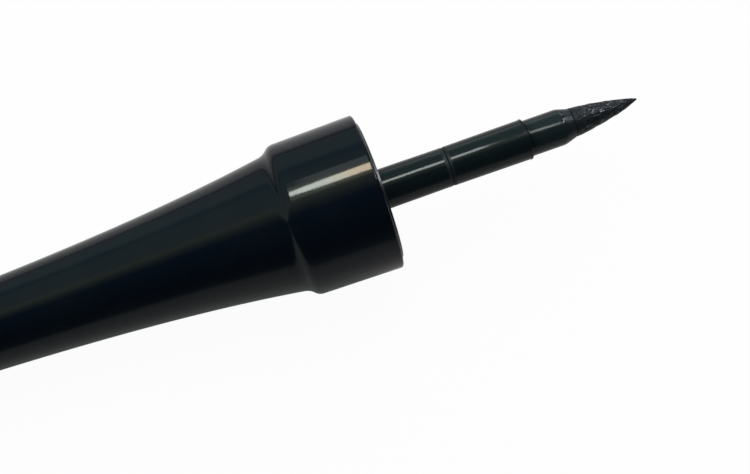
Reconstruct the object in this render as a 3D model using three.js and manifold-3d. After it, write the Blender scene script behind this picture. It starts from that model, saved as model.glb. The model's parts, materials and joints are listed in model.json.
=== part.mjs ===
// Applicator cap of a dip-in liquid eyeliner, out of its bottle and lying on its side.
// Millimetres, +Z up. The nib points along +X, and the collar and the handle's end touch the ground.
// Every piece is drawn round one axis: a radius, and a station along the axis that is 0 at the
// front of the cap and grows towards the nib.

import * as THREE from "three";
import { mergeVertices } from "three/addons/utils/BufferGeometryUtils.js";
import Module from "manifold-3d";

// Fit between pieces that push together, on the radius and at each seat
const fitClearance = 0.05;

// Outer cap: collar, ogee shoulder and flared handle
const collarDiameter = 14.0;
const collarDraft = 0.14;
const collarLength = 7.4;
const collarWall = 1.06;
const rimRound = 0.3;
const rimWidth = 0.75;
const seatDepth = 0.5;
const shoulderStep = 0.75;
const shoulderLength = 1.7;
const shoulderEase = 0.95;
const handleLength = 60.0;
const handleEndDiameter = 6.25;
const handleEndRound = 0.8;
const flareLength = 20.0;
const handleWall = 1.2;
const endWall = 1.5;
const ledgeWidth = 0.85;

// Inner cap: screw insert, whose front lip sits in the rim and stands a little out of it
const lipRise = 0.22;
const lipChamfer = 0.08;
const innerWall = 0.65;
const innerLeadIn = 0.25;
const floorThickness = 1.2;
const hubLength = 5.0;
const hubWall = 1.2;
const driveRibCount = 12;
const driveRibHeight = 0.3;
const driveRibWidth = 0.6;
const driveRibLength = 3.8;
const snapBeadHeight = 0.12;
const snapBeadSetback = 1.6;

// Seal ring on the floor of the inner cap
const sealThickness = 0.9;

// Stem: barbed root, flange, drafted rod and front spigot
const stemBaseDiameter = 3.7;
const stemFrontDiameter = 3.55;
const stemReach = 6.3;
const rootDiameter = 3.2;
const flangeWidth = 0.7;
const flangeThickness = 0.8;
const barbCatch = 0.2;
const barbLength = 1.2;
const spigotLength = 3.0;
const seamChamfer = 0.06;

// Tip sleeve: tube on the spigot, a little wider at its front
const sleeveRearDiameter = 3.57;
const sleeveFrontDiameter = 3.64;
const sleeveLength = 7.35;
const sleeveWall = 0.47;

// Nib holder: plug in the sleeve, barrel and tapered mouth
const holderBarrelLength = 3.15;
const holderTaperLength = 1.05;
const holderWall = 0.375;
const holderWeb = 0.4;
const mouthLip = 0.06;
const plugGap = 0.4;
const plugChamfer = 0.2;

// Felt nib: shank in the holder, and a point that swells a little where it leaves it
const nibDiameter = 2.42;
const nibSwell = 0.1;
const nibLength = 6.28;
const nibRise = 1.3;
const nibTaper = 0.78;

// Facets round each piece, in fours so that a flat lies underneath, and steps along each curve
const capFacets = 40;
const stemFacets = 32;
const arcSteps = 4;
const flareSteps = 12;
const shoulderSteps = 8;
const nibSteps = 10;

// Points closer than this are one point
const mergeDistance = 1e-4;

// Radii that the fits give
const collarRadius = collarDiameter / 2;
const collarRearRadius = collarRadius - collarDraft;
const neckRadius = collarRearRadius - shoulderStep;
const handleEndRadius = handleEndDiameter / 2;
const mouthRadius = collarRearRadius - collarWall;
const throatRadius = mouthRadius - ledgeWidth;
const seatRadius = collarRadius - rimWidth;
const lipRadius = seatRadius - fitClearance;
const ribRadius = mouthRadius - fitClearance;
const innerRadius = ribRadius - driveRibHeight;
const threadBoreRadius = innerRadius - innerWall;
const rootRadius = rootDiameter / 2;
const hubBoreRadius = rootRadius + fitClearance;
const hubRadius = hubBoreRadius + hubWall;
const barbRadius = hubBoreRadius + barbCatch;
const stemBaseRadius = stemBaseDiameter / 2;
const stemFrontRadius = stemFrontDiameter / 2;
const flangeRadius = stemBaseRadius + flangeWidth;
const sleeveRearRadius = sleeveRearDiameter / 2;
const sleeveFrontRadius = sleeveFrontDiameter / 2;
const sleeveBoreRadius = sleeveRearRadius - sleeveWall;
const plugRadius = sleeveBoreRadius - fitClearance;
const nibRadius = nibDiameter / 2;
const nibBoreRadius = nibRadius + fitClearance;
const holderRadius = nibBoreRadius + holderWall;
const holderMouthRadius = nibBoreRadius + mouthLip;

// Stations that the seats give, from the handle's end to the nib's point
const ledge = -collarLength;
const neck = ledge - shoulderLength;
const handleRound = neck - handleLength;
const handleEnd = handleRound - handleEndRound;
const rim = -lipRise;
const seatFloor = rim - seatDepth;
const lipRear = seatFloor + fitClearance;
const innerRear = ledge + fitClearance;
const innerFloor = innerRear + floorThickness;
const hubRear = innerRear - hubLength;
const beadStation = -snapBeadSetback;
const flangeRear = innerFloor + fitClearance;
const flangeFront = flangeRear + flangeThickness;
const barbFace = hubRear - fitClearance;
const sleeveRear = stemReach + fitClearance;
const sleeveFront = sleeveRear + sleeveLength;
const spigotFront = stemReach + spigotLength;
const plugRear = spigotFront + plugGap;
const holderRear = sleeveFront + fitClearance;
const taperRear = holderRear + holderBarrelLength;
const holderMouth = taperRear + holderTaperLength;
const nibBoreFloor = holderRear + holderWeb;
const nibRear = nibBoreFloor + fitClearance;
const nibBase = holderMouth + fitClearance;

const wasm = await Module();
wasm.setup();

function at(radius, station) {
  return new THREE.Vector2(radius, station);
}

// Points of a circular arc in the outline, from one angle to the other
function arc(radius, station, size, from, to) {
  return new THREE.EllipseCurve(radius, station, size, size, from, to).getPoints(arcSteps);
}

// Half a facet of turn lays a flat, not an edge, underneath
function revolve(outline, facets) {
  return new THREE.LatheGeometry(outline, facets, Math.PI / facets);
}

// A ring's outline closes on its first point
function revolveRing(outline, facets) {
  return revolve([...outline, outline[0].clone()], facets);
}

function toSolid(geometry) {
  const bare = geometry.clone();
  bare.deleteAttribute("normal");
  bare.deleteAttribute("uv");
  const merged = mergeVertices(bare, mergeDistance);
  const vertProperties = new Float32Array(merged.attributes.position.array);
  const triVerts = new Uint32Array(merged.index.array);
  return new wasm.Manifold(new wasm.Mesh({ numProp: 3, vertProperties, triVerts }));
}

function toGeometry(solid) {
  const mesh = solid.getMesh();
  const geometry = new THREE.BufferGeometry();
  geometry.setAttribute("position", new THREE.BufferAttribute(mesh.vertProperties, 3));
  geometry.setIndex(new THREE.BufferAttribute(mesh.triVerts, 1));
  geometry.computeVertexNormals();
  return geometry;
}

// The handle narrows like a trumpet: its width above the end's dies away with distance from the neck
function handleRadius(fromNeck) {
  const left = Math.exp(-fromNeck / flareLength);
  const leftAtEnd = Math.exp(-handleLength / flareLength);
  return handleEndRadius + (neckRadius - handleEndRadius) * (left - leftAtEnd) / (1 - leftAtEnd);
}

// Outside of the handle, from the end's rounding to just short of the neck
function handleOutside() {
  const points = [];
  for (let step = 1; step < flareSteps; step += 1) {
    const fromNeck = handleLength * (1 - step / flareSteps);
    points.push(at(handleRadius(fromNeck), neck - fromNeck));
  }
  return points;
}

// S-curve from the neck to the collar, in line with the handle's flare and with the collar's draft
function shoulderOutside() {
  const flareSlope = (neckRadius - handleEndRadius) / flareLength;
  const curve = new THREE.CubicBezierCurve(
    at(neckRadius, neck),
    at(neckRadius + flareSlope * shoulderEase, neck + shoulderEase),
    at(collarRearRadius, ledge - shoulderEase),
    at(collarRearRadius, ledge),
  );
  return curve.getPoints(shoulderSteps);
}

// Hollow of the handle, from the ledge back to the end wall
function handleInside() {
  const points = [at(throatRadius, ledge)];
  const hollowLength = handleLength + handleEndRound - endWall;
  for (let step = 0; step <= flareSteps; step += 1) {
    const fromNeck = hollowLength * step / flareSteps;
    const radius = Math.min(throatRadius, handleRadius(fromNeck) - handleWall);
    points.push(at(radius, neck - fromNeck));
  }
  return points;
}

const shoulderPoints = shoulderOutside();

function makeOuterCap() {
  const outline = [
    at(0, handleEnd),
    ...arc(handleEndRadius - handleEndRound, handleRound, handleEndRound, -Math.PI / 2, 0),
    ...handleOutside(),
    ...shoulderPoints,
    ...arc(collarRadius - rimRound, rim - rimRound, rimRound, 0, Math.PI / 2),
    at(seatRadius, rim),
    at(seatRadius, seatFloor),
    at(mouthRadius, seatFloor),
    at(mouthRadius, beadStation + snapBeadHeight),
    at(mouthRadius + snapBeadHeight, beadStation),
    at(mouthRadius, beadStation - snapBeadHeight),
    at(mouthRadius, ledge),
    ...handleInside(),
    at(0, handleEnd + endWall),
  ];
  return revolve(outline, capFacets);
}

function makeInnerCap() {
  const beadRise = driveRibHeight + snapBeadHeight;
  const body = toSolid(revolveRing([
    at(hubBoreRadius, hubRear),
    at(hubRadius, hubRear),
    at(hubRadius, innerRear),
    at(innerRadius, innerRear),
    at(innerRadius, beadStation - beadRise),
    at(innerRadius + beadRise, beadStation),
    at(innerRadius, beadStation + beadRise),
    at(innerRadius, lipRear),
    at(lipRadius, lipRear),
    at(lipRadius, -lipChamfer),
    at(lipRadius - lipChamfer, 0),
    at(threadBoreRadius + innerLeadIn, 0),
    at(threadBoreRadius, -innerLeadIn),
    at(threadBoreRadius, innerFloor),
    at(hubBoreRadius, innerFloor),
  ], capFacets));
  let solid = body;
  for (let index = 0; index < driveRibCount; index += 1) {
    const ribDepth = driveRibHeight + innerWall / 2;
    const rib = new THREE.BoxGeometry(ribDepth, driveRibLength, driveRibWidth);
    rib.translate(ribRadius - ribDepth / 2, innerRear + driveRibLength / 2, 0);
    rib.rotateY(2 * Math.PI * index / driveRibCount);
    solid = solid.add(toSolid(rib));
  }
  return toGeometry(solid);
}

function makeSealRing() {
  const inside = flangeRadius + fitClearance;
  const outside = threadBoreRadius - fitClearance;
  return revolveRing([
    at(inside, flangeRear),
    at(outside, flangeRear),
    at(outside, flangeRear + sealThickness),
    at(inside, flangeRear + sealThickness),
  ], capFacets);
}

function makeStem() {
  return revolve([
    at(0, barbFace - barbLength),
    at(rootRadius, barbFace - barbLength),
    at(barbRadius, barbFace),
    at(rootRadius, barbFace),
    at(rootRadius, flangeRear),
    at(flangeRadius, flangeRear),
    at(flangeRadius, flangeFront),
    at(stemBaseRadius, flangeFront),
    at(stemFrontRadius, stemReach - seamChamfer),
    at(stemFrontRadius - seamChamfer, stemReach),
    at(plugRadius, stemReach),
    at(plugRadius, spigotFront - plugChamfer),
    at(plugRadius - plugChamfer, spigotFront),
    at(0, spigotFront),
  ], stemFacets);
}

function makeTipSleeve() {
  return revolveRing([
    at(sleeveBoreRadius, sleeveRear),
    at(sleeveRearRadius - seamChamfer, sleeveRear),
    at(sleeveRearRadius, sleeveRear + seamChamfer),
    at(sleeveFrontRadius, sleeveFront),
    at(sleeveBoreRadius, sleeveFront),
  ], stemFacets);
}

function makeNibHolder() {
  return revolve([
    at(0, plugRear),
    at(plugRadius - plugChamfer, plugRear),
    at(plugRadius, plugRear + plugChamfer),
    at(plugRadius, holderRear),
    at(holderRadius, holderRear),
    at(holderRadius, taperRear),
    at(holderMouthRadius, holderMouth),
    at(nibBoreRadius, holderMouth),
    at(nibBoreRadius, nibBoreFloor),
    at(0, nibBoreFloor),
  ], stemFacets);
}

// The nib's point: its radius is the base's times (1 - along^rise)^taper, so it stays full and ends sharp
function makeFeltNib() {
  const outline = [at(0, nibRear), at(nibRadius, nibRear), at(nibRadius, nibBase)];
  for (let step = 0; step <= nibSteps; step += 1) {
    const along = Math.sin(Math.PI / 2 * step / nibSteps);
    const left = step < nibSteps ? 1 - Math.pow(along, nibRise) : 0;
    outline.push(at((nibRadius + nibSwell) * Math.pow(left, nibTaper), nibBase + nibLength * along));
  }
  return revolve(outline, stemFacets);
}

const glossBlack = new THREE.MeshStandardMaterial({ color: 0x0a0b0d, roughness: 0.12, metalness: 0 });
const insertBlack = new THREE.MeshStandardMaterial({ color: 0x121314, roughness: 0.45, metalness: 0 });
const sealWhite = new THREE.MeshStandardMaterial({ color: 0xc9c7c0, roughness: 0.6, metalness: 0 });
const stemBlack = new THREE.MeshStandardMaterial({ color: 0x0c0f10, roughness: 0.2, metalness: 0 });
const inkedFelt = new THREE.MeshStandardMaterial({ color: 0x101014, roughness: 0.55, metalness: 0 });

const applicator = new THREE.Group();

function addPiece(name, geometry, material) {
  const mesh = new THREE.Mesh(geometry, material);
  mesh.name = name;
  applicator.add(mesh);
}

addPiece("outer_cap", makeOuterCap(), glossBlack);
addPiece("inner_cap", makeInnerCap(), insertBlack);
addPiece("seal_ring", makeSealRing(), sealWhite);
addPiece("stem", makeStem(), stemBlack);
addPiece("tip_sleeve", makeTipSleeve(), stemBlack);
addPiece("nib_holder", makeNibHolder(), stemBlack);
addPiece("felt_nib", makeFeltNib(), inkedFelt);

// The axis first stands along Z, then leans over onto its side. It comes to rest on the handle's end
// and on the highest point of the shoulder and collar, as seen from that end.
applicator.rotation.x = Math.PI / 2;
const restSlopes = shoulderPoints.map((point) => (point.x - handleEndRadius) / (point.y - handleRound));
const restLean = Math.atan(Math.max(...restSlopes));
const lying = new THREE.Group();
lying.add(applicator);
lying.rotation.y = Math.PI / 2 - restLean;

// The origin is under the middle of the part, on the ground
const box = new THREE.Box3().setFromObject(lying, true);
const middle = box.getCenter(new THREE.Vector3());
lying.position.set(-middle.x, -middle.y, -box.min.z);

const part = new THREE.Group();
part.add(lying);

export default part;
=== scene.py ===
"""Looks of the applicator cap of a dip-in liquid eyeliner: gloss black cap and stem, and a wet felt nib.

Sizes are in millimetres. A place on the part is a station along its axis, 0 at the cap's front and growing
towards the nib, a radius, and a turn round the axis that starts at the side and goes up over the top.
"""

import json
import math

import bpy
import numpy as np
from mathutils import Matrix, Vector


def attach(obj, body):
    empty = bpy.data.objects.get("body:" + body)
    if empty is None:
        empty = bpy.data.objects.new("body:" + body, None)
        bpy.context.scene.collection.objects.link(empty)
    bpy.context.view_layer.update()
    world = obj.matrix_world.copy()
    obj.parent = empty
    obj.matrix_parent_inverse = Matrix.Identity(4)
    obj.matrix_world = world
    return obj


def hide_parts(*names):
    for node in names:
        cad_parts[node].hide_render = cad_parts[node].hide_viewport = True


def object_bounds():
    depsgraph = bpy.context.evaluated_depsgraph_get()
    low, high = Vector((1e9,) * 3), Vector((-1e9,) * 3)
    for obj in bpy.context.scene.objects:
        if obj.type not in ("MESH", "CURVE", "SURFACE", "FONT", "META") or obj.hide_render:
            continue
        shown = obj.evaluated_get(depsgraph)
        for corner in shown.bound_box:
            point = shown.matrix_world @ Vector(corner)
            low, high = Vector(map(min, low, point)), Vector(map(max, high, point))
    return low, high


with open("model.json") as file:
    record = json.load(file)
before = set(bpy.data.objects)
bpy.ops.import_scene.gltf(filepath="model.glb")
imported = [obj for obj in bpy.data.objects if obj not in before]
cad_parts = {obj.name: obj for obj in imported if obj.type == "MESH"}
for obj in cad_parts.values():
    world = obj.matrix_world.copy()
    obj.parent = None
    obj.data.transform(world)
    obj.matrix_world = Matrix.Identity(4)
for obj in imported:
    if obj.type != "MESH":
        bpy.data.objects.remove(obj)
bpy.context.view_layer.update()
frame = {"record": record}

MM = 0.001
SEED = 11

# The axis, read from the seat that the cap's front makes on the bottle
seat = next(mount for mount in frame["record"]["mounts"] if mount["name"] == "bottle_seat")
AXIS = np.array(seat["axis"]) / np.linalg.norm(seat["axis"])
SIDE = np.array([0.0, 1.0, 0.0])
TOP = np.cross(AXIS, SIDE)
RIM = np.array([seat["pos_m"][0], 0.0, seat["pos_m"][2]])
LEAN = math.atan2(AXIS[2], AXIS[0])

# Outer cap. The margins keep the handle's rows clear of its neck and its end.
HANDLE_ROWS = 120
HOLLOW_ROWS = 60
COLLAR_RADIUS = 7.0
COLLAR_REAR_RADIUS = 6.86
COLLAR_LENGTH = 7.4
COLLAR_START = 0.3
COLLAR_START_RISE = 0.004
RIM_STATION = -0.22
RIM_ROUND = 0.22
SEAT_RADIUS = 6.25
SEAT_FLOOR = -0.72
SEAT_ROUND = 0.06
MOUTH_RADIUS = 5.8
SNAP_GROOVE_DEPTH = 0.12
NECK_RADIUS = 6.11
NECK_MARGIN = 0.4
SHOULDER_LENGTH = 1.7
SHOULDER_EASE = 0.95
HANDLE_LENGTH = 60.0
HANDLE_WALL = 1.2
HANDLE_END_RADIUS = 3.125
HANDLE_END_ROUND = 0.8
HANDLE_END_LAND = 0.01
HANDLE_END_MARGIN = 0.6
FLARE_LENGTH = 20.0
END_WALL = 1.5
THROAT_RADIUS = 4.95

# Inner cap, with its front lip, drive ribs, snap bead and screw thread. The margins keep the bore's rows
# clear of its ends. A rib's crest and foot are shares of the way to the next rib.
LIP_RADIUS = 6.2
LIP_REAR = -0.67
LIP_BEVEL_LENGTH = 0.2
LIP_BEVEL_DEPTH = 0.055
LIP_ROUND = 0.03
LEAD_IN = 0.25
LEAD_IN_ROUND = 0.06
INNER_REAR = -7.35
INNER_REAR_ROUND = 0.1
INNER_FLOOR = -6.15
INNER_FLOOR_ROW = 3.0
INNER_RADIUS = 5.45
BORE_ROWS = 110
BORE_FRONT_MARGIN = 0.05
BORE_FLOOR_MARGIN = 0.01
HUB_RADIUS = 2.85
HUB_REAR = -12.35
HUB_ROUND = 0.3
HUB_BORE_RADIUS = 1.65
HUB_BORE_ROUND = 0.1
DRIVE_RIB_COUNT = 12
DRIVE_RIB_HEIGHT = 0.3
DRIVE_RIB_LENGTH = 3.8
DRIVE_RIB_CREST = 0.08
DRIVE_RIB_FOOT = 0.14
DRIVE_RIB_RUN_OUT = 0.3
SNAP_BEAD_STATION = -1.6
SNAP_BEAD_RISE = 0.42
SNAP_BEAD_ROUND = 0.08
THREAD_BORE_RADIUS = 4.8
THREAD_PITCH = 2.0
THREAD_HEIGHT = 0.45
THREAD_CREST = 0.16
THREAD_FOOT = 0.52
THREAD_START = -5.3
THREAD_END = -1.0
THREAD_RUN_OUT = 0.5

# Seal ring
SEAL_INSIDE = 2.6
SEAL_INSIDE_ROUND = 0.1
SEAL_OUTSIDE = 4.75
SEAL_OUTSIDE_ROUND = 0.15
SEAL_FRONT = -5.2

# Stem
FLANGE_REAR = -6.1
FLANGE_REAR_ROUND = 0.1
FLANGE_FRONT = -5.3
FLANGE_FRONT_ROUND = 0.2
FLANGE_RADIUS = 2.55
BARB_REAR = -13.6
BARB_FACE = -12.4
BARB_RADIUS = 1.85
BARB_ROUND = 0.06
ROOT_RADIUS = 1.6
ROOT_ROUND = 0.2
STEM_BASE_RADIUS = 1.85
STEM_BASE_FILLET = 0.3
STEM_FRONT_RADIUS = 1.775
STEM_FRONT = 6.3
STEM_END_EASE = 0.15
STEM_END_ROUND = 0.03
SEAM_CHAMFER = 0.04
PLUG_RADIUS = 1.265
PLUG_ROUND = 0.2
SPIGOT_FRONT = 9.3

# Tip sleeve
SLEEVE_REAR = 6.35
SLEEVE_REAR_RADIUS = 1.785
SLEEVE_REAR_ROUND = 0.1
SLEEVE_END_EASE = 0.2
SLEEVE_FRONT = 13.7
SLEEVE_FRONT_RADIUS = 1.82
SLEEVE_FRONT_ROUND = 0.02
SLEEVE_BORE_RADIUS = 1.315
SLEEVE_BORE_ROUND = 0.05
SLEEVE_LIP_RISE = 0.05
SLEEVE_LIP_LENGTH = 0.25
SLEEVE_LIP_CREST = 0.1
SLEEVE_LIP_ROUND = 0.03
SLEEVE_LIP_FILLET = 0.08

# Nib holder
PLUG_REAR = 9.7
HOLDER_REAR = 13.75
HOLDER_REAR_ROUND = 0.08
HOLDER_RADIUS = 1.635
TAPER_REAR = 16.9
TAPER_ROUND = 1.2
HOLDER_MOUTH = 17.95
HOLDER_MOUTH_RADIUS = 1.32
HOLDER_MOUTH_ROUND = 0.025
NIB_BORE_RADIUS = 1.26
NIB_BORE_FLOOR = 14.15
NIB_BORE_ROUND = 0.02

# Felt nib. Each wave has a count round the nib, a height and a drift of its turn along the nib.
NIB_ROWS = 150
NIB_SWELL_ROWS = 4
NIB_REAR = 14.2
NIB_REAR_ROUND = 0.1
NIB_RADIUS = 1.21
NIB_GAP = 0.02
NIB_SHANK_MARGIN = 0.05
NIB_SWELL = 0.1
NIB_SWELL_LENGTH = 0.05
NIB_SWELL_SHARE = 0.012
NIB_LENGTH = 6.3
NIB_RISE = 1.3
NIB_TAPER = 0.78
NIB_LEAN = 0.03
NIB_LEAN_LENGTH = 0.1
NIB_BEND = 0.1
NIB_BEND_POWER = 2.5
NIB_WAVES = ((43, 0.004, 1.0), (29, 0.005, 1.8), (17, 0.007, 2.8), (7, 0.010, 4.2), (3, 0.012, 2.4))
NIB_WAVE_RATE = 1.7
NIB_WAVE_EASE = 0.2
NIB_WAVE_START = 0.6
NIB_WAVE_RADIUS = 0.5


# Outlines

def smooth(low, high, values):
    """0 below low, 1 above high, and an S-curve between them."""
    share = np.clip((values - low) / (high - low), 0.0, 1.0)
    return share * share * (3.0 - 2.0 * share)


def rounded(corners, steps=6):
    """Outline through (station, radius, rounding) corners. Each rounding replaces its corner by an arc that
    touches both neighbours: its centre lies on the corner's bisector, at rounding / sin(half angle)."""
    points = []
    for index, (station, radius, rounding) in enumerate(corners):
        corner = np.array([station, radius])
        if rounding == 0.0:
            points.append(corner[None])
            continue
        back = np.array(corners[index - 1][:2]) - corner
        ahead = np.array(corners[(index + 1) % len(corners)][:2]) - corner
        back = back / np.linalg.norm(back)
        ahead = ahead / np.linalg.norm(ahead)
        half = math.acos(np.clip(back @ ahead, -1.0, 1.0)) / 2.0
        centre = corner + (back + ahead) / np.linalg.norm(back + ahead) * rounding / math.sin(half)
        first = corner + back * rounding / math.tan(half) - centre
        last = corner + ahead * rounding / math.tan(half) - centre
        share = np.linspace(0.0, 1.0, steps + 1)[:, None]
        spread = math.pi - 2.0 * half
        arc = (np.sin((1.0 - share) * spread) * first + np.sin(share * spread) * last) / math.sin(spread)
        points.append(centre + arc)
    return np.concatenate(points)


def filled(outline, spacing, guard=0.04):
    """Outline with points added on its long straight stretches: one close to each end, so that the shading
    of a rounding stops there, and the rest evenly between them."""
    stretches = []
    for start, end in zip(outline[:-1], outline[1:]):
        length = np.linalg.norm(end - start)
        share = np.array([0.0])
        if length > 3.0 * guard:
            count = max(2, math.ceil(length / spacing) + 1)
            share = np.concatenate([share, np.linspace(guard / length, 1.0 - guard / length, count)])
        stretches.append(start + share[:, None] * (end - start))
    stretches.append(outline[-1:])
    return np.concatenate(stretches)


def closed(outline):
    """Outline of a ring, ending on its first point."""
    return np.concatenate([outline, outline[:1]])


def revolve(name, outline, around, relief=None, shift=None):
    """Surface of revolution: point (i, j) lies at the outline's station i, turned by 2 pi j / around, at
    the outline's radius i plus relief[i, j], moved by shift[i] towards the side. An outline end on the axis
    becomes one pole point, and an outline that ends where it starts is joined into a ring."""
    station = outline[:, 0]
    turn = np.linspace(0.0, 2.0 * math.pi, around, endpoint=False)
    radius = np.repeat(outline[:, 1:2], around, axis=1)
    if relief is not None:
        radius = radius + relief
    spoke = np.cos(turn)[:, None] * SIDE + np.sin(turn)[:, None] * TOP
    points = station[:, None, None] * AXIS + radius[:, :, None] * spoke
    if shift is not None:
        points = points + shift[:, None, None] * SIDE
    points = RIM + MM * points
    ring = np.allclose(outline[0], outline[-1])
    rows = len(outline) - 1 if ring else len(outline)
    points = points[:rows]
    here = np.arange(rows if ring else rows - 1)
    ahead = (here + 1) % rows
    column = np.arange(around)
    beside = (column + 1) % around
    grid = np.arange(rows * around).reshape(rows, around)
    if not ring:
        for row in (0, rows - 1):
            if outline[row, 1] == 0.0:
                grid[row] = grid[row, 0]
    corners = [
        grid[here][:, column], grid[here][:, beside], grid[ahead][:, beside], grid[ahead][:, column],
    ]
    faces = np.stack(corners, axis=-1).reshape(-1, 4)
    return mesh_object(name, points.reshape(-1, 3), faces)


def mesh_object(name, points, faces):
    """Object at the origin from points and quads. A quad with a doubled corner becomes a triangle, and
    points that no face uses are left out."""
    used, faces = np.unique(faces, return_inverse=True)
    faces = faces.reshape(-1, 4)
    front_pole = faces[:, 0] == faces[:, 1]
    back_pole = faces[:, 2] == faces[:, 3]
    quads = faces[~(front_pole | back_pole)]
    triangles = np.concatenate([faces[front_pole][:, [0, 2, 3]], faces[back_pole][:, [0, 1, 2]]])
    mesh = bpy.data.meshes.new(name)
    mesh.from_pydata(points[used].tolist(), [], quads.tolist() + triangles.tolist())
    mesh.update()
    mesh.shade_smooth()
    piece = bpy.data.objects.new(name, mesh)
    bpy.context.scene.collection.objects.link(piece)
    return piece


def dress(piece, material, node):
    """Gives a piece its material, and puts it on the part in place of its solid."""
    piece.data.materials.append(material)
    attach(piece, "root")
    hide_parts(node)


# Nodes of materials

def add_node(tree, kind, **inputs):
    """Node with values set on its named inputs."""
    made = tree.nodes.new(kind)
    for name, value in inputs.items():
        made.inputs[name.replace("_", " ")].default_value = value
    return made


def add_math(tree, operation, first, second):
    """Math node whose inputs are sockets or numbers."""
    made = tree.nodes.new("ShaderNodeMath")
    made.operation = operation
    for socket, value in zip(made.inputs, (first, second)):
        if isinstance(value, (int, float)):
            socket.default_value = value
        else:
            tree.links.new(value, socket)
    return made.outputs["Value"]


def add_range(tree, value, low, high, to_low, to_high):
    """Map Range node, smooth and held at its ends."""
    made = tree.nodes.new("ShaderNodeMapRange")
    made.interpolation_type = "SMOOTHSTEP"
    for name, number in (("From Min", low), ("From Max", high), ("To Min", to_low), ("To Max", to_high)):
        made.inputs[name].default_value = number
    tree.links.new(value, made.inputs["Value"])
    return made.outputs["Result"]


def along_axis(tree, stretch=(1.0, 1.0, 1.0)):
    """Object coordinates in millimetres, turned so that X runs along the part's axis from the rim, and
    multiplied by stretch."""
    place = add_node(tree, "ShaderNodeTexCoord").outputs["Object"]
    turned = tree.nodes.new("ShaderNodeMapping")
    turn = Matrix.Rotation(LEAN, 3, "Y")
    turned.inputs["Rotation"].default_value = (0.0, LEAN, 0.0)
    turned.inputs["Scale"].default_value = (1.0 / MM,) * 3
    turned.inputs["Location"].default_value = -(turn @ Vector(RIM)) / MM
    tree.links.new(place, turned.inputs["Vector"])
    stretched = tree.nodes.new("ShaderNodeVectorMath")
    stretched.operation = "MULTIPLY"
    stretched.inputs[1].default_value = stretch
    tree.links.new(turned.outputs["Vector"], stretched.inputs[0])
    return stretched.outputs["Vector"]


def add_noise(tree, vector, scale=1.0, detail=2.0, roughness=0.5):
    """Noise value between 0 and 1 over a vector."""
    made = add_node(tree, "ShaderNodeTexNoise", Scale=scale, Detail=detail, Roughness=roughness)
    tree.links.new(vector, made.inputs["Vector"])
    return made.outputs["Fac"]


def new_group(name, inputs, outputs):
    """Shader node group with named number inputs and outputs."""
    group = bpy.data.node_groups.new(name, "ShaderNodeTree")
    for socket_name, value in inputs:
        socket = group.interface.new_socket(socket_name, in_out="INPUT", socket_type="NodeSocketFloat")
        socket.default_value = value
    for socket_name in outputs:
        group.interface.new_socket(socket_name, in_out="OUTPUT", socket_type="NodeSocketFloat")
    return group, group.nodes.new("NodeGroupInput"), group.nodes.new("NodeGroupOutput")


# Marks of handling: how fast each noise varies along and across the part, and the values of it between
# which a mark starts to show and shows in full
SMUDGE_SHOWS = (0.42, 0.68)
HAIRLINE_STRETCH = (0.12, 9.0, 9.0)
HAIRLINE_SHOWS = (0.66, 0.74)
BREAK_STRETCH = (0.5, 0.8, 0.8)
BREAK_SHOWS = (0.5, 0.62)
RIPPLE_STRETCH = (0.05, 0.5, 0.5)


def handling_marks_group():
    """Smudge: soft patches left by fingers. Scratch: hairlines, mostly along the part. Ripple: slow waves
    of a moulded skin."""
    group, given, put_out = new_group(
        "handling_marks", [("Smudge Size", 4.0)], ["Smudge", "Scratch", "Ripple"])
    sized = group.nodes.new("ShaderNodeVectorMath")
    sized.operation = "DIVIDE"
    group.links.new(along_axis(group), sized.inputs[0])
    group.links.new(given.outputs["Smudge Size"], sized.inputs[1])
    patches = add_noise(group, sized.outputs["Vector"], detail=4.0, roughness=0.6)
    group.links.new(add_range(group, patches, *SMUDGE_SHOWS, 0.0, 1.0), put_out.inputs["Smudge"])
    lines = add_noise(group, along_axis(group, HAIRLINE_STRETCH), roughness=0.4)
    breaks = add_noise(group, along_axis(group, BREAK_STRETCH), detail=1.0)
    hairline = add_math(group, "MULTIPLY", add_range(group, lines, *HAIRLINE_SHOWS, 0.0, 1.0),
                        add_range(group, breaks, *BREAK_SHOWS, 0.0, 1.0))
    group.links.new(hairline, put_out.inputs["Scratch"])
    ripple = add_noise(group, along_axis(group, RIPPLE_STRETCH), detail=1.0, roughness=0.4)
    group.links.new(ripple, put_out.inputs["Ripple"])
    return group


def add_marks(tree, group, smudge_size):
    """Outputs of the handling marks, with smudges of a size in millimetres."""
    marks = tree.nodes.new("ShaderNodeGroup")
    marks.node_tree = group
    marks.inputs["Smudge Size"].default_value = smudge_size
    return marks.outputs


def new_material(name):
    """Material with an empty tree, a Principled shader and its output."""
    material = bpy.data.materials.new(name)
    material.use_nodes = True
    tree = material.node_tree
    tree.nodes.clear()
    shader = tree.nodes.new("ShaderNodeBsdfPrincipled")
    output = tree.nodes.new("ShaderNodeOutputMaterial")
    tree.links.new(shader.outputs["BSDF"], output.inputs["Surface"])
    return material, tree, shader


def add_bump(tree, shader, height, distance, strength):
    """Bump from a height between 0 and 1 that stands distance millimetres tall."""
    bump = add_node(tree, "ShaderNodeBump", Strength=strength, Distance=distance * MM)
    tree.links.new(height, bump.inputs["Height"])
    tree.links.new(bump.outputs["Normal"], shader.inputs["Normal"])


def shade_between(tree, value, first, second):
    """Colour that goes from the first to the second with a value."""
    mix = tree.nodes.new("ShaderNodeMix")
    mix.data_type = "RGBA"
    mix.inputs[6].default_value = (*first, 1.0)
    mix.inputs[7].default_value = (*second, 1.0)
    tree.links.new(value, mix.inputs[0])
    return mix.outputs[2]


# Materials of the part

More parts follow.
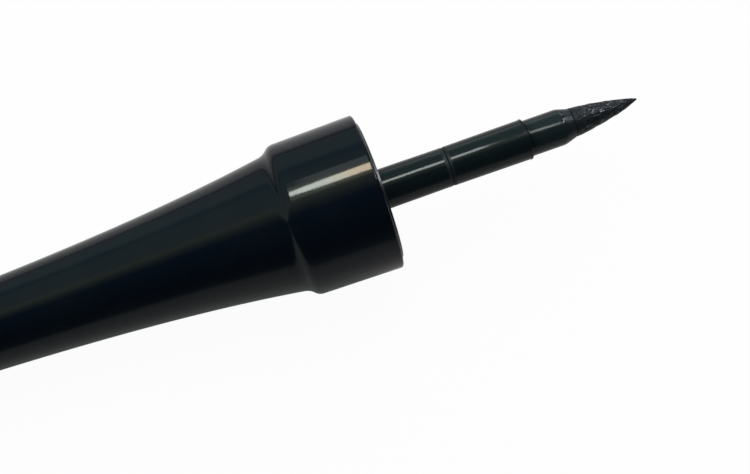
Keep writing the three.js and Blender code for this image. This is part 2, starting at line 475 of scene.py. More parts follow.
CAP_BLACK = (0.0028, 0.0056, 0.0108)
CAP_SMUDGED = (0.0040, 0.0070, 0.0120)
CAP_ROUGHNESS = 0.075
CAP_SMUDGE_ROUGHNESS = 0.035
CAP_HAIRLINE_ROUGHNESS = 0.10
CAP_HAIRLINE_DEPTH = 0.05
CAP_SPECULAR = 0.13


def cap_gloss_material(marks_group):
    """Polished black moulding: low roughness, raised by smudges and hairlines, over slow ripples."""
    material, tree, shader = new_material("cap_gloss")
    marks = add_marks(tree, marks_group, smudge_size=5.0)
    tone = shade_between(tree, marks["Smudge"], CAP_BLACK, CAP_SMUDGED)
    tree.links.new(tone, shader.inputs["Base Color"])
    rough = add_math(tree, "ADD", add_math(tree, "MULTIPLY", marks["Smudge"], CAP_SMUDGE_ROUGHNESS),
                     add_math(tree, "MULTIPLY", marks["Scratch"], CAP_HAIRLINE_ROUGHNESS))
    tree.links.new(add_math(tree, "ADD", rough, CAP_ROUGHNESS), shader.inputs["Roughness"])
    shader.inputs["Specular IOR Level"].default_value = CAP_SPECULAR
    scratched = add_math(tree, "MULTIPLY", marks["Scratch"], CAP_HAIRLINE_DEPTH)
    height = add_math(tree, "SUBTRACT", marks["Ripple"], scratched)
    add_bump(tree, shader, height, distance=0.04, strength=0.25)
    return material


STEM_BLACK = (0.0066, 0.0124, 0.0146)
STEM_ROUGHNESS = 0.07
STEM_SMUDGE_ROUGHNESS = 0.04
STEM_SPECULAR = 0.15
DRIED_INK = (0.0125, 0.0205, 0.0250)

# Streaks, film and rings of dried ink: the lengths are in millimetres along the stem, and a share says how
# far the tone goes from the stem's black to the ink's
INK_STREAK_STRETCH = (0.35, 2.5, 2.5)
INK_STREAK_SHOWS = (0.50, 0.75)
INK_STREAK_SHARE = 0.3
INK_STREAK_ROUGHNESS = 0.08
HOLDER_FILM_FADE = 1.0
HOLDER_FILM_SHARE = 0.9
SEAM_RING_BEHIND = 0.45
SEAM_RING_AHEAD = 0.35
SEAM_RING_FADE = 0.2
SEAM_RING_SHARE = 0.5
SEAM_RING_ROUGHNESS = 0.8
MOUTH_RING_STRETCH = (1.5, 3.0, 3.0)
MOUTH_RING_RAGGED = 0.8
MOUTH_RING_START = 0.4
MOUTH_RING_FADE = 0.5
MOUTH_RING_ROUGHNESS = 0.22


def stem_gloss_material(marks_group):
    """Glossy black rods, with faint dull streaks of dried ink along them, a film of it on the nib holder
    and two dull rings of it: one at the seam of the tip sleeve, and one round the holder's mouth, whose
    edge is ragged."""
    material, tree, shader = new_material("stem_gloss")
    place = tree.nodes.new("ShaderNodeSeparateXYZ")
    tree.links.new(along_axis(tree), place.inputs["Vector"])
    station = place.outputs["X"]
    streaks = add_noise(tree, along_axis(tree, INK_STREAK_STRETCH), detail=3.0, roughness=0.6)
    dried = add_range(tree, streaks, *INK_STREAK_SHOWS, 0.0, 1.0)
    film_ends = HOLDER_REAR, HOLDER_REAR + HOLDER_FILM_FADE
    film = add_range(tree, station, *film_ends, 0.0, HOLDER_FILM_SHARE)
    seam_starts = SLEEVE_REAR - SEAM_RING_BEHIND
    seam_ends = SLEEVE_REAR + SEAM_RING_AHEAD
    seam_fades_in = seam_starts, seam_starts + SEAM_RING_FADE
    seam_fades_out = seam_ends - SEAM_RING_FADE, seam_ends
    seam = add_math(tree, "MULTIPLY",
                    add_range(tree, station, *seam_fades_in, 0.0, SEAM_RING_SHARE),
                    add_range(tree, station, *seam_fades_out, 1.0, 0.0))
    inked = add_math(tree, "MAXIMUM", film, add_math(tree, "MULTIPLY", dried, INK_STREAK_SHARE))
    inked = add_math(tree, "MAXIMUM", inked, seam)
    tree.links.new(shade_between(tree, inked, STEM_BLACK, DRIED_INK), shader.inputs["Base Color"])
    ragged = add_noise(tree, along_axis(tree, MOUTH_RING_STRETCH), detail=3.0, roughness=0.6)
    reach = add_math(tree, "ADD", station, add_math(tree, "MULTIPLY", ragged, MOUTH_RING_RAGGED))
    ring_starts = TAPER_REAR + MOUTH_RING_START
    ring_fades_in = ring_starts, ring_starts + MOUTH_RING_FADE
    ring = add_range(tree, reach, *ring_fades_in, 0.0, MOUTH_RING_ROUGHNESS)
    marks = add_marks(tree, marks_group, smudge_size=2.5)
    rough = add_math(tree, "ADD", add_math(tree, "MULTIPLY", dried, INK_STREAK_ROUGHNESS),
                     add_math(tree, "MULTIPLY", marks["Smudge"], STEM_SMUDGE_ROUGHNESS))
    rings = add_math(tree, "ADD", ring, add_math(tree, "MULTIPLY", seam, SEAM_RING_ROUGHNESS))
    rough = add_math(tree, "ADD", rough, rings)
    tree.links.new(add_math(tree, "ADD", rough, STEM_ROUGHNESS), shader.inputs["Roughness"])
    shader.inputs["Specular IOR Level"].default_value = STEM_SPECULAR
    add_bump(tree, shader, streaks, distance=0.02, strength=0.2)
    return material


INSERT_DARK = (0.010, 0.010, 0.011)
INSERT_LIGHT = (0.020, 0.020, 0.021)
INSERT_ROUGHNESS = (0.22, 0.36)


def insert_material(marks_group):
    """Satin black polypropylene: an even spark-eroded grain under soft smudges."""
    material, tree, shader = new_material("insert_plastic")
    grain = add_noise(tree, along_axis(tree), scale=14.0, detail=3.0, roughness=0.6)
    tree.links.new(shade_between(tree, grain, INSERT_DARK, INSERT_LIGHT), shader.inputs["Base Color"])
    marks = add_marks(tree, marks_group, smudge_size=3.0)
    rough = add_range(tree, marks["Smudge"], 0.0, 1.0, *INSERT_ROUGHNESS)
    tree.links.new(rough, shader.inputs["Roughness"])
    add_bump(tree, shader, grain, distance=0.02, strength=0.3)
    return material


SEAL_CLEAN = (0.58, 0.57, 0.54)
SEAL_STAINED = (0.20, 0.20, 0.21)
SEAL_STAIN_SHOWS = (0.5, 0.75)
SEAL_ROUGHNESS = (0.5, 0.3)


def seal_material():
    """Soft natural polyethylene, with faint ink stains that shine a little more."""
    material, tree, shader = new_material("seal")
    patches = add_noise(tree, along_axis(tree), scale=0.9, detail=4.0, roughness=0.65)
    stain = add_range(tree, patches, *SEAL_STAIN_SHOWS, 0.0, 1.0)
    tree.links.new(shade_between(tree, stain, SEAL_CLEAN, SEAL_STAINED), shader.inputs["Base Color"])
    tree.links.new(add_range(tree, stain, 0.0, 1.0, *SEAL_ROUGHNESS), shader.inputs["Roughness"])
    return material


FELT_DARK = (0.0080, 0.0118, 0.0170)
FELT_LIGHT = (0.0120, 0.0150, 0.0205)
FELT_ROUGHNESS = 0.45
FELT_SPECULAR = 0.1
FIBRE_STRETCH = (1.2, 8.0, 8.0)
FIBRE_HEIGHT = 0.3
GRAIN_STRETCH = (3.2, 4.6, 4.6)
GRAIN_HEIGHT = 0.7
WET_SHOWS = (0.50, 0.62)
WET_COAT = 0.45
WET_ROUGHNESS = 0.16


def felt_material():
    """Black felt soaked with ink: dull fibres and grains along the nib, under wet speckles that shine."""
    material, tree, shader = new_material("inked_felt")
    fibres = add_noise(tree, along_axis(tree, FIBRE_STRETCH), detail=3.0, roughness=0.6)
    grains = add_noise(tree, along_axis(tree, GRAIN_STRETCH), roughness=0.55)
    tree.links.new(shade_between(tree, fibres, FELT_DARK, FELT_LIGHT), shader.inputs["Base Color"])
    shader.inputs["Roughness"].default_value = FELT_ROUGHNESS
    shader.inputs["Specular IOR Level"].default_value = FELT_SPECULAR
    wet = add_range(tree, grains, *WET_SHOWS, 0.0, WET_COAT)
    tree.links.new(wet, shader.inputs["Coat Weight"])
    shader.inputs["Coat Roughness"].default_value = WET_ROUGHNESS
    height = add_math(tree, "ADD", add_math(tree, "MULTIPLY", grains, GRAIN_HEIGHT),
                      add_math(tree, "MULTIPLY", fibres, FIBRE_HEIGHT))
    add_bump(tree, shader, height, distance=0.08, strength=0.6)
    return material


# Pieces

def handle_radius(from_neck):
    """Trumpet: the width above the end's dies away as exp(-distance / flare length) from the neck."""
    left = np.exp(-from_neck / FLARE_LENGTH)
    left_at_end = math.exp(-HANDLE_LENGTH / FLARE_LENGTH)
    share = (left - left_at_end) / (1.0 - left_at_end)
    return HANDLE_END_RADIUS + (NECK_RADIUS - HANDLE_END_RADIUS) * share


def shoulder_outline(steps=28):
    """Cubic Bezier from the neck, in line with the flare, to the collar."""
    neck = -COLLAR_LENGTH - SHOULDER_LENGTH
    slope = (NECK_RADIUS - HANDLE_END_RADIUS) / FLARE_LENGTH
    ends = np.array([
        [neck, NECK_RADIUS],
        [neck + SHOULDER_EASE, NECK_RADIUS + slope * SHOULDER_EASE],
        [-COLLAR_LENGTH - SHOULDER_EASE, COLLAR_REAR_RADIUS],
        [-COLLAR_LENGTH, COLLAR_REAR_RADIUS],
    ])
    share = np.linspace(0.0, 1.0, steps + 1)[:, None]
    rest = 1.0 - share
    weights = np.concatenate(
        [rest**3, 3.0 * rest**2 * share, 3.0 * rest * share**2, share**3], axis=1)
    return weights @ ends


def make_outer_cap(material, around=224):
    """Hollow turned shell: a rounded end, the trumpet of the handle, the shoulder's curve, the drafted
    collar, the stepped mouth with its snap groove, and the same trumpet inside, one wall smaller."""
    neck = -COLLAR_LENGTH - SHOULDER_LENGTH
    handle_end = neck - HANDLE_LENGTH - HANDLE_END_ROUND
    end_cap = rounded([
        (handle_end, 0.0, 0.0),
        (handle_end, HANDLE_END_RADIUS, HANDLE_END_ROUND),
        (neck - HANDLE_LENGTH + HANDLE_END_LAND, HANDLE_END_RADIUS, 0.0),
    ], steps=14)
    from_neck = np.linspace(HANDLE_LENGTH - HANDLE_END_MARGIN, NECK_MARGIN, HANDLE_ROWS)
    handle = np.stack([neck - from_neck, handle_radius(from_neck)], axis=1)
    mouth = rounded([
        (-COLLAR_LENGTH + COLLAR_START, COLLAR_REAR_RADIUS + COLLAR_START_RISE, 0.0),
        (RIM_STATION, COLLAR_RADIUS, RIM_ROUND),
        (RIM_STATION, SEAT_RADIUS, SEAT_ROUND),
        (SEAT_FLOOR, SEAT_RADIUS, 0.0),
        (SEAT_FLOOR, MOUTH_RADIUS, 0.0),
        (SNAP_BEAD_STATION + SNAP_GROOVE_DEPTH, MOUTH_RADIUS, 0.0),
        (SNAP_BEAD_STATION, MOUTH_RADIUS + SNAP_GROOVE_DEPTH, 0.0),
        (SNAP_BEAD_STATION - SNAP_GROOVE_DEPTH, MOUTH_RADIUS, 0.0),
        (-COLLAR_LENGTH, MOUTH_RADIUS, 0.0),
        (-COLLAR_LENGTH, THROAT_RADIUS, 0.0),
    ], steps=10)
    hollow_length = HANDLE_LENGTH + HANDLE_END_ROUND - END_WALL
    inside_from_neck = np.linspace(0.0, hollow_length, HOLLOW_ROWS)
    inside_radius = np.minimum(THROAT_RADIUS, handle_radius(inside_from_neck) - HANDLE_WALL)
    inside = np.stack([neck - inside_from_neck, inside_radius], axis=1)
    inner_end = np.array([[handle_end + END_WALL, 0.0]])
    outline = np.concatenate([
        filled(end_cap, spacing=0.4),
        handle,
        shoulder_outline(),
        filled(mouth, spacing=0.5),
        inside,
        inner_end,
    ])
    piece = revolve("outer_cap_shell", outline, around)
    dress(piece, material, "outer_cap")


def thread_relief(station, turn):
    """Right-hand ridge in the bore: its crest follows station = start + pitch * turn, in whole turns, and
    it rises and runs out at its ends."""
    phase = (station - THREAD_START) / THREAD_PITCH - turn
    from_crest = np.abs(phase - np.round(phase)) * THREAD_PITCH
    crest = 1.0 - smooth(THREAD_CREST, THREAD_FOOT, from_crest)
    begins = smooth(THREAD_START, THREAD_START + THREAD_RUN_OUT, station)
    ends = 1.0 - smooth(THREAD_END - THREAD_RUN_OUT, THREAD_END, station)
    return -THREAD_HEIGHT * crest * begins * ends


def rib_relief(station, turn):
    """Drive ribs on the outside, at even turns, from the rear up to their length."""
    phase = turn * DRIVE_RIB_COUNT
    crest = 1.0 - smooth(DRIVE_RIB_CREST, DRIVE_RIB_FOOT, np.abs(phase - np.round(phase)))
    rib_end = INNER_REAR + DRIVE_RIB_LENGTH
    return DRIVE_RIB_HEIGHT * crest * (1.0 - smooth(rib_end - DRIVE_RIB_RUN_OUT, rib_end, station))


def make_inner_cap(material, around=288):
    """Turned insert: a hub, a body with ribs and a snap bead, the front lip, and a bore with a thread."""
    outside = filled(rounded([
        (INNER_FLOOR, HUB_BORE_RADIUS, 0.0),
        (HUB_REAR, HUB_BORE_RADIUS, HUB_BORE_ROUND),
        (HUB_REAR, HUB_RADIUS, HUB_ROUND),
        (INNER_REAR, HUB_RADIUS, 0.0),
        (INNER_REAR, INNER_RADIUS, INNER_REAR_ROUND),
        (SNAP_BEAD_STATION - SNAP_BEAD_RISE, INNER_RADIUS, 0.0),
        (SNAP_BEAD_STATION, INNER_RADIUS + SNAP_BEAD_RISE, SNAP_BEAD_ROUND),
        (SNAP_BEAD_STATION + SNAP_BEAD_RISE, INNER_RADIUS, 0.0),
        (LIP_REAR, INNER_RADIUS, 0.0),
        (LIP_REAR, LIP_RADIUS, 0.0),
        (-LIP_BEVEL_LENGTH, LIP_RADIUS, LIP_ROUND),
        (0.0, LIP_RADIUS - LIP_BEVEL_DEPTH, LIP_ROUND),
        (0.0, THREAD_BORE_RADIUS + LEAD_IN, LEAD_IN_ROUND),
        (-LEAD_IN, THREAD_BORE_RADIUS, LEAD_IN_ROUND),
    ]), spacing=0.35)
    bore_front = -LEAD_IN - BORE_FRONT_MARGIN
    bore_station = np.linspace(bore_front, INNER_FLOOR + BORE_FLOOR_MARGIN, BORE_ROWS)
    bore = np.stack([bore_station, np.full_like(bore_station, THREAD_BORE_RADIUS)], axis=1)
    floor = np.array([[INNER_FLOOR, THREAD_BORE_RADIUS], [INNER_FLOOR, INNER_FLOOR_ROW]])
    outline = np.concatenate([outside, bore, floor, outside[:1]])
    station = outline[:, 0:1]
    turn = np.linspace(0.0, 1.0, around, endpoint=False)[None, :]
    in_bore = np.zeros((len(outline), 1))
    in_bore[len(outside):len(outside) + len(bore)] = 1.0
    on_body = np.isclose(outline[:, 1:2], INNER_RADIUS, rtol=0.0, atol=0.02) & (in_bore == 0.0)
    relief = thread_relief(station, turn) * in_bore + rib_relief(station, turn) * on_body
    piece = revolve("inner_cap_insert", outline, around, relief)
    dress(piece, material, "inner_cap")


def make_seal_ring(material, around=128):
    """Turned ring of a rounded rectangle."""
    outline = closed(filled(closed(rounded([
        (FLANGE_REAR, SEAL_INSIDE, SEAL_INSIDE_ROUND),
        (FLANGE_REAR, SEAL_OUTSIDE, SEAL_OUTSIDE_ROUND),
        (SEAL_FRONT, SEAL_OUTSIDE, SEAL_OUTSIDE_ROUND),
        (SEAL_FRONT, SEAL_INSIDE, SEAL_INSIDE_ROUND),
    ])), spacing=0.3)[:-1])
    piece = revolve("seal_washer", outline, around)
    dress(piece, material, "seal_ring")


def make_stem(material, around=160):
    """Turned rod: a barbed root, a flange, a drafted rod with an eased front edge, and a spigot."""
    outline = filled(rounded([
        (BARB_REAR, 0.0, 0.0),
        (BARB_REAR, ROOT_RADIUS, ROOT_ROUND),
        (BARB_FACE, BARB_RADIUS, BARB_ROUND),
        (BARB_FACE, ROOT_RADIUS, 0.0),
        (FLANGE_REAR, ROOT_RADIUS, 0.0),
        (FLANGE_REAR, FLANGE_RADIUS, FLANGE_REAR_ROUND),
        (FLANGE_FRONT, FLANGE_RADIUS, FLANGE_FRONT_ROUND),
        (FLANGE_FRONT, STEM_BASE_RADIUS, STEM_BASE_FILLET),
        (STEM_FRONT - STEM_END_EASE, STEM_FRONT_RADIUS, STEM_END_ROUND),
        (STEM_FRONT, STEM_FRONT_RADIUS - SEAM_CHAMFER, 0.0),
        (STEM_FRONT, PLUG_RADIUS, 0.0),
        (SPIGOT_FRONT, PLUG_RADIUS, PLUG_ROUND),
        (SPIGOT_FRONT, 0.0, 0.0),
    ]), spacing=0.3)
    piece = revolve("stem_rod", outline, around)
    dress(piece, material, "stem")


def make_tip_sleeve(material, around=160):
    """Turned tube that widens a little forwards, with an eased rear edge and a fine bead at its front."""
    outline = closed(filled(closed(rounded([
        (SLEEVE_REAR, SLEEVE_BORE_RADIUS, SLEEVE_BORE_ROUND),
        (SLEEVE_REAR, SLEEVE_REAR_RADIUS - SEAM_CHAMFER, 0.0),
        (SLEEVE_REAR + SLEEVE_END_EASE, SLEEVE_REAR_RADIUS, SLEEVE_REAR_ROUND),
        (SLEEVE_FRONT - SLEEVE_LIP_LENGTH, SLEEVE_FRONT_RADIUS, SLEEVE_LIP_FILLET),
        (SLEEVE_FRONT - SLEEVE_LIP_CREST, SLEEVE_FRONT_RADIUS + SLEEVE_LIP_RISE, SLEEVE_LIP_ROUND),
        (SLEEVE_FRONT, SLEEVE_FRONT_RADIUS, SLEEVE_FRONT_ROUND),
        (SLEEVE_FRONT, SLEEVE_BORE_RADIUS, SLEEVE_BORE_ROUND),
    ])), spacing=0.3)[:-1])
    piece = revolve("tip_sleeve_tube", outline, around)
    dress(piece, material, "tip_sleeve")


def make_nib_holder(material, around=160):
    """Turned barrel: a plug, a plain length, a softly rounded taper, and a blind bore for the nib."""
    outline = filled(rounded([
        (PLUG_REAR, 0.0, 0.0),
        (PLUG_REAR, PLUG_RADIUS, PLUG_ROUND),
        (HOLDER_REAR, PLUG_RADIUS, 0.0),
        (HOLDER_REAR, HOLDER_RADIUS, HOLDER_REAR_ROUND),
        (TAPER_REAR, HOLDER_RADIUS, TAPER_ROUND),
        (HOLDER_MOUTH, HOLDER_MOUTH_RADIUS, HOLDER_MOUTH_ROUND),
        (HOLDER_MOUTH, NIB_BORE_RADIUS, NIB_BORE_ROUND),
        (NIB_BORE_FLOOR, NIB_BORE_RADIUS, 0.0),
        (NIB_BORE_FLOOR, 0.0, 0.0),
    ], steps=8), spacing=0.25)
    piece = revolve("nib_holder_barrel", outline, around)
    dress(piece, material, "nib_holder")


def make_felt_nib(material, around=224):
    """Point: radius = swollen base * (1 - share ** rise) ** taper, over its share of the length. Fibres are
    waves round the nib whose turns drift along it, and lumps are slow waves both ways. Both die out in the
    shank and at the tip, and the whole point leans and bends a little to the side."""
    share = np.concatenate([
        np.linspace(0.0, NIB_SWELL_SHARE, NIB_SWELL_ROWS)[:-1],
        np.linspace(NIB_SWELL_SHARE, 1.0, NIB_ROWS),
    ])
    swell = NIB_SWELL * smooth(0.0, NIB_SWELL_LENGTH, NIB_LENGTH * share)
    point_radius = (NIB_RADIUS + swell) * (1.0 - share**NIB_RISE) ** NIB_TAPER
    base = HOLDER_MOUTH + NIB_GAP
    point = np.stack([base + NIB_LENGTH * share, point_radius], axis=1)
    shank = filled(rounded([
        (NIB_REAR, 0.0, 0.0),
        (NIB_REAR, NIB_RADIUS, NIB_REAR_ROUND),
        (base - NIB_SHANK_MARGIN, NIB_RADIUS, 0.0),
    ]), spacing=0.3)
    outline = np.concatenate([shank, point])
    station = outline[:, 0:1]
    turn = np.linspace(0.0, 2.0 * math.pi, around, endpoint=False)[None, :]
    draw = np.random.default_rng(SEED)
    relief = np.zeros((len(outline), around))
    for count, height, drift in NIB_WAVES:
        first, second = draw.uniform(0.0, 2.0 * math.pi, 2)
        drifting = drift * np.sin(NIB_WAVE_RATE * station + second)
        relief = relief + height * np.sin(count * turn + first + drifting)
    shown = smooth(HOLDER_MOUTH - NIB_WAVE_EASE, HOLDER_MOUTH + NIB_WAVE_START, station)
    relief = relief * shown * np.minimum(1.0, outline[:, 1:2] / NIB_WAVE_RADIUS)
    ahead = np.clip((outline[:, 0] - base) / NIB_LENGTH, 0.0, 1.0)
    leaning = smooth(base - NIB_WAVE_EASE, base + NIB_LEAN_LENGTH, outline[:, 0])
    shift = NIB_LEAN * leaning + NIB_BEND * ahead**NIB_BEND_POWER
    piece = revolve("felt_nib_point", outline, around, relief, shift)
    dress(piece, material, "felt_nib")


# Stage, light and camera

IMAGE_WIDTH = 750.0
IMAGE_HEIGHT = 474.0
SENSOR_WIDTH = 36.0
FOCAL_PIXELS = 1000.0
RIM_PIXEL = (379.5, 190.5)
CAMERA_DISTANCE = 87.4
CAMERA_NEAR = 5.0
CAMERA_FAR = 10000.0
CAMERA_ELEVATION = math.radians(71.5)
CAMERA_TURN = math.radians(19.34)

UPRIGHT = np.array([0.0, 0.0, 1.0])
CAMERA_RIGHT = np.array([math.cos(CAMERA_TURN), -math.sin(CAMERA_TURN), 0.0])
CAMERA_FLAT = np.array([math.sin(CAMERA_TURN), math.cos(CAMERA_TURN), 0.0])
CAMERA_AHEAD = math.cos(CAMERA_ELEVATION) * CAMERA_FLAT - math.sin(CAMERA_ELEVATION) * UPRIGHT
CAMERA_UP = np.cross(CAMERA_RIGHT, CAMERA_AHEAD)
CAMERA_SIGHT = (
    CAMERA_AHEAD
    + (RIM_PIXEL[0] - IMAGE_WIDTH / 2.0) / FOCAL_PIXELS * CAMERA_RIGHT
    + (IMAGE_HEIGHT / 2.0 - RIM_PIXEL[1]) / FOCAL_PIXELS * CAMERA_UP
)
CAMERA_PLACE = RIM - CAMERA_DISTANCE * MM * CAMERA_SIGHT

# Directions across the part's axis: towards the camera's side, and from there towards the far side
EYE_SIDE = -CAMERA_SIGHT + (CAMERA_SIGHT @ AXIS) * AXIS
EYE_SIDE = EYE_SIDE / np.linalg.norm(EYE_SIDE)
FAR_SIDE = np.cross(EYE_SIDE, AXIS)


def place_looking(piece, position, right, up):
    """Turns an object so that its X is right, its Y is up and it faces along its own -Z."""
    back = np.cross(right, up)
    turn = Matrix((right, up, back)).transposed().to_4x4()
    piece.matrix_world = Matrix.Translation(Vector(position)) @ turn


def make_camera():
    """Camera that sees the rim's centre at its place in the photograph, at the photograph's tilt."""
    data = bpy.data.cameras.new("camera")
    data.sensor_width = SENSOR_WIDTH
    data.lens = FOCAL_PIXELS / IMAGE_WIDTH * SENSOR_WIDTH
    data.clip_start = CAMERA_NEAR * MM
    data.clip_end = CAMERA_FAR * MM
    camera = bpy.data.objects.new("camera", data)
    bpy.context.scene.collection.objects.link(camera)
    place_looking(camera, CAMERA_PLACE, CAMERA_RIGHT, CAMERA_UP)
    bpy.context.scene.camera = camera


# The paper: how far it reaches, where its colour is painted darker away from the part (a painted pool of
# light) and where its painted white glow fades, in millimetres from the part's middle
PAPER_REACH = 4500.0
PAPER_NEAR = (0.96, 0.96, 0.96)
# painted shade: the paper's colour far from the part, painted darker as a fall-off of light
PAPER_FAR_PAINTED_SHADE = (0.40, 0.40, 0.40)
PAINTED_POOL_FADES_FROM = 40.0
PAINTED_POOL_FADES_TO = 180.0
WHITE_FADES_FROM = 90.0
WHITE_FADES_TO = 300.0
WHITE_SHARE = 0.96
WHITE_SHARE_IN_GLOSS = 0.12
PAPER_ROUGHNESS = 0.9
PAPER_SPECULAR = 0.1
PULP_SHOWS = (0.3, 0.7)
PULP_SHADE = (0.96, 1.0)


def white_paper_material():
    """Matt white paper with a painted pool of light round the part: its colour is painted darker away from
    the part. Where it is seen straight or through glass, a share of it is a painted plain white glow, which
    dies away further off, and the rest keeps its light and shadow. In a gloss that share is smaller, so
    that the gloss shows the shadow too."""
    material, tree, shader = new_material("white_paper")
    distance = tree.nodes.new("ShaderNodeVectorMath")
    distance.operation = "LENGTH"
    tree.links.new(add_node(tree, "ShaderNodeTexCoord").outputs["Object"], distance.inputs[0])
    away = distance.outputs["Value"]
    pulp = add_noise(tree, along_axis(tree), scale=0.6, detail=3.0, roughness=0.6)
    grain = add_range(tree, pulp, *PULP_SHOWS, *PULP_SHADE)
    # painted pool of light: the paper's colour is painted darker away from the part
    painted_pool = add_range(tree, away, PAINTED_POOL_FADES_FROM * MM, PAINTED_POOL_FADES_TO * MM, 1.0, 0.0)
    pulp_and_painted_pool = add_math(tree, "MULTIPLY", grain, painted_pool)
    tree.links.new(shade_between(tree, pulp_and_painted_pool, PAPER_FAR_PAINTED_SHADE, PAPER_NEAR), shader.inputs["Base Color"])
    shader.inputs["Roughness"].default_value = PAPER_ROUGHNESS
    shader.inputs["Specular IOR Level"].default_value = PAPER_SPECULAR
    path = tree.nodes.new("ShaderNodeLightPath")
    seen = add_math(tree, "MAXIMUM", path.outputs["Is Camera Ray"], path.outputs["Is Transmission Ray"])
    straight = add_math(tree, "MULTIPLY", seen, WHITE_SHARE)
    mirrored = add_math(tree, "MULTIPLY", path.outputs["Is Glossy Ray"], WHITE_SHARE_IN_GLOSS)
    # the painted white glow dies away with distance from the part
    fade = add_range(tree, away, WHITE_FADES_FROM * MM, WHITE_FADES_TO * MM, 1.0, 0.0)
    whitened = add_math(tree, "MULTIPLY", add_math(tree, "MAXIMUM", straight, mirrored), fade)
    white = add_node(tree, "ShaderNodeEmission", Strength=1.0)
    mix = tree.nodes.new("ShaderNodeMixShader")
    tree.links.new(whitened, mix.inputs["Fac"])
    tree.links.new(shader.outputs["BSDF"], mix.inputs[1])
    tree.links.new(white.outputs["Emission"], mix.inputs[2])
    tree.links.new(mix.outputs["Shader"], tree.nodes["Material Output"].inputs["Surface"])
    return material


def make_floor(rings=24, around=48):
    """Round white sheet under the part: ring radius = reach * share ** 3, so that rings are close in the
    middle."""
    depth = min(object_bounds()[0].z, 0.0)
    radius = PAPER_REACH * MM * np.linspace(0.0, 1.0, rings + 1) ** 3
    turn = np.linspace(0.0, 2.0 * math.pi, around, endpoint=False)
    spoke = np.stack([np.cos(turn), np.sin(turn), np.zeros(around)], axis=1)
    points = radius[:, None, None] * spoke + depth * UPRIGHT
    grid = np.arange((rings + 1) * around).reshape(rings + 1, around)
    grid[0] = 0
    ahead = np.roll(grid, -1, axis=1)
    faces = np.stack([grid[1:], ahead[1:], ahead[:-1], grid[:-1]], axis=-1).reshape(-1, 4)
    floor = mesh_object("floor", points.reshape(-1, 3), faces)
    floor.data.materials.append(white_paper_material())


def mirrored_place(axial, raised, distance):
    """Place seen in the part's side: axial degrees towards the nib, raised degrees from the camera's side
    towards the far side, and distance millimetres from the rim."""
    around = math.cos(math.radians(raised)) * EYE_SIDE + math.sin(math.radians(raised)) * FAR_SIDE
    direction = math.cos(math.radians(axial)) * around + math.sin(math.radians(axial)) * AXIS
    return RIM + distance * MM * direction


def add_area_light(name, position, along, size, colour, watts):
    """Rectangle that faces the rim, with its long side along a direction."""
    data = bpy.data.lights.new(name, "AREA")
    data.shape = "RECTANGLE"
    data.size = size[0] * MM
    data.size_y = size[1] * MM
    data.color = colour
    data.energy = watts
    lamp = bpy.data.objects.new(name, data)
    bpy.context.scene.collection.objects.link(lamp)
    back = position - RIM
    back = back / np.linalg.norm(back)
    right = along - (along @ back) * back
    right = right / np.linalg.norm(right)
    place_looking(lamp, position, right, np.cross(back, right))
    lamp.visible_camera = False
    return lamp


def add_strip(name, low, high, width, colour, radiance, distance=160.0):
    """Strip light between two mirrored places, which shows in the gloss only."""
    low_end = mirrored_place(*low, distance)
    high_end = mirrored_place(*high, distance)
    length = np.linalg.norm(high_end - low_end) / MM
    watts = radiance * math.pi * length * width * MM * MM
    middle = (low_end + high_end) / 2.0
    strip = add_area_light(name, middle, high_end - low_end, (length, width), colour, watts)
    strip.visible_diffuse = False


# Colours of the lamps
COOL = np.array([0.90, 1.0, 0.92])
WARM = np.array([1.0, 0.80, 0.56])
STRAW = (1.0, 1.0, 0.72)
ICE = (0.94, 1.0, 1.0)
PALE = (0.93, 1.0, 0.98)
LAVENDER = (0.90, 0.88, 1.0)
ROSE = (1.0, 0.66, 0.78)

# The streak on the collar and the line on the holder, in mirrored degrees, with widths in millimetres
STREAK_RAISED = 36.3
STREAK_REAR = -6.5
STREAK_FRONT = 2.6
STREAK_STRIPS = 12
STREAK_WIDTH = 18.0
STREAK_GROWTH = 8.0
STREAK_RADIANCE = 46.0
STREAK_FADES_IN = (-8.0, -5.2)
STREAK_WIDENS = (-8.0, 0.0)
STREAK_WARMS = (-3.2, 0.2)
HALO_RAISED = 36.0
ECHO_RAISED = 49.0
HALO_DISTANCE = 170.0
HOLDER_LINE = ((17.3, 31.0), (18.1, 28.0), (18.9, 25.5), (19.7, 23.0))
HOLDER_LINE_STEP = 0.8

# The soft lights: names, mirrored degrees along and round the part, and watts
SOFT_LIGHTS = (("soft_high", 15.0, 40.0, 0.15), ("soft_low", 25.0, 66.0, 0.18))
SOFT_DISTANCE = 260.0
SOFT_SIZE = (160.0, 100.0)


def make_streak():
    """Row of strips for the streak on the collar, which warms and widens towards the rim, with a faint halo
    behind it and a faint echo above it."""
    edges = np.linspace(STREAK_REAR, STREAK_FRONT, STREAK_STRIPS + 1)
    for index, (low, high) in enumerate(zip(edges[:-1], edges[1:])):
        colour = COOL + (WARM - COOL) * smooth(*STREAK_WARMS, low)
        width = STREAK_WIDTH + STREAK_GROWTH * smooth(*STREAK_WIDENS, low)
        width = width * smooth(*STREAK_FADES_IN, low)
        ends = (low, STREAK_RAISED), (high, STREAK_RAISED)
        add_strip(f"collar_strip_{index}", *ends, width, colour, STREAK_RADIANCE)
    halo_ends = (-7.0, HALO_RAISED), (STREAK_FRONT, HALO_RAISED)
    add_strip("collar_halo", *halo_ends, width=56.0, colour=STRAW, radiance=2.6, distance=HALO_DISTANCE)
    echo_ends = (-4.6, ECHO_RAISED), (STREAK_FRONT, ECHO_RAISED)
    add_strip("collar_echo", *echo_ends, width=22.0, colour=ICE, radiance=2.4, distance=HALO_DISTANCE)


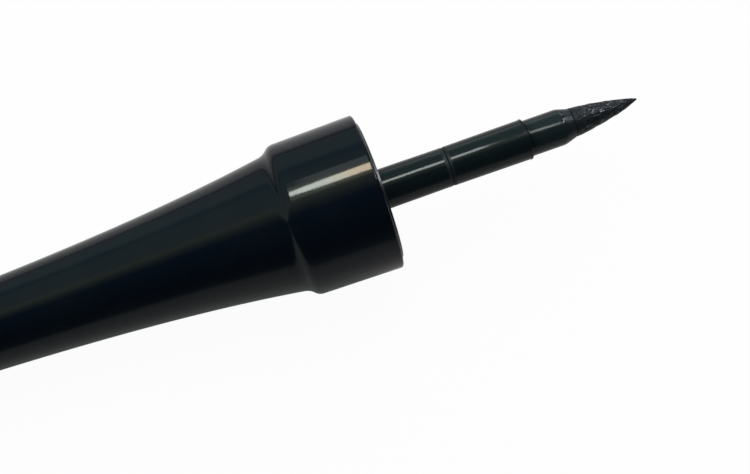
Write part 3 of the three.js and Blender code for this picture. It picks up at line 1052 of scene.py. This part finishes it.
def make_lights():
    """Strips that show in the gloss: the streak on the collar with its halo and the echo above it, the
    lines on the stem and the holder, the glints on the nib, and a panel beyond the stem. Two soft lights
    from the far side, which the gloss doesn't show, light the paper, and their tint evens out that of the
    room."""
    make_streak()
    stem_ends = (3.6, STREAK_RAISED), (13.2, STREAK_RAISED)
    add_strip("stem_strip", *stem_ends, width=32.0, colour=PALE, radiance=22.0)
    for index, (low, raised) in enumerate(HOLDER_LINE):
        ends = (low, raised), (low + HOLDER_LINE_STEP, raised)
        add_strip(f"holder_strip_{index}", *ends, width=34.0, colour=PALE, radiance=14.0)
    add_strip("far_panel", (5.0, 101.0), (23.0, 101.0), width=50.0, colour=PALE, radiance=1.1)
    add_strip("nib_strip_rear", (31.0, 24.0), (39.0, 21.0), width=18.0, colour=LAVENDER, radiance=27.0)
    add_strip("nib_strip_front", (39.0, 21.0), (48.0, 55.0), width=18.0, colour=LAVENDER, radiance=19.0)
    add_strip("nib_strip_far", (41.0, 82.0), (31.0, 106.0), width=24.0, colour=LAVENDER, radiance=3.0)
    for name, axial, raised, watts in SOFT_LIGHTS:
        place = mirrored_place(axial, raised, SOFT_DISTANCE)
        soft = add_area_light(name, place, AXIS, SOFT_SIZE, ROSE, watts)
        soft.visible_glossy = False


# The room's bands: degrees round the axis from the camera's side towards the far side, and the colour
ROOM_BANDS = (
    (-75.0, (0.22, 0.24, 0.26)),
    (-62.0, (0.08, 0.09, 0.10)),
    (-40.0, (0.02, 0.03, 0.04)),
    (6.0, (0.04, 0.08, 0.12)),
    (16.0, (0.50, 0.58, 0.44)),
    (26.0, (1.25, 1.40, 0.90)),
    (34.0, (0.90, 1.12, 0.98)),
    (60.0, (0.72, 1.00, 0.96)),
    (74.0, (0.40, 0.64, 0.60)),
    (82.0, (0.75, 1.05, 1.02)),
    (92.0, (0.66, 0.87, 0.80)),
    (106.0, (0.46, 0.54, 0.47)),
)

# Where the room dims ahead of the nib, as cosines of the angle to the axis, and how bright it is there
ROOM_DIMS = (0.62, 0.76)
ROOM_AHEAD = 0.4


def make_world():
    """Dim room in bands that run along the part: dark on the camera's side, an olive glow overhead, a
    grey-green wall beyond the part, and a pale horizon. The room is dimmer ahead of the nib."""
    world = bpy.data.worlds.new("room")
    bpy.context.scene.world = world
    world.use_nodes = True
    tree = world.node_tree
    tree.nodes.clear()
    direction = add_node(tree, "ShaderNodeTexCoord").outputs["Generated"]
    shares = []
    for way in (FAR_SIDE, EYE_SIDE, AXIS):
        share = tree.nodes.new("ShaderNodeVectorMath")
        share.operation = "DOT_PRODUCT"
        share.inputs[1].default_value = way
        tree.links.new(direction, share.inputs[0])
        shares.append(share.outputs["Value"])
    far_share, eye_share, axis_share = shares
    angle = add_math(tree, "ARCTAN2", far_share, eye_share)
    place = add_math(tree, "ADD", add_math(tree, "DIVIDE", angle, 2.0 * math.pi), 0.5)
    bands = tree.nodes.new("ShaderNodeValToRGB")
    tree.links.new(place, bands.inputs["Fac"])
    elements = bands.color_ramp.elements
    while len(elements) < len(ROOM_BANDS):
        elements.new(0.5)
    for element, (raised, colour) in zip(elements, ROOM_BANDS):
        element.position = raised / 360.0 + 0.5
        element.color = (*colour, 1.0)
    background = tree.nodes.new("ShaderNodeBackground")
    tree.links.new(bands.outputs["Color"], background.inputs["Color"])
    dimmed = add_range(tree, axis_share, *ROOM_DIMS, 1.0, ROOM_AHEAD)
    tree.links.new(dimmed, background.inputs["Strength"])
    output = tree.nodes.new("ShaderNodeOutputWorld")
    tree.links.new(background.outputs["Background"], output.inputs["Surface"])


marks_group = handling_marks_group()
make_outer_cap(cap_gloss_material(marks_group))
make_inner_cap(insert_material(marks_group))
make_seal_ring(seal_material())
stem_gloss = stem_gloss_material(marks_group)
make_stem(stem_gloss)
make_tip_sleeve(stem_gloss)
make_nib_holder(stem_gloss)
make_felt_nib(felt_material())
make_floor()
make_camera()
make_lights()
make_world()
bpy.context.scene.view_settings.view_transform = "Standard"
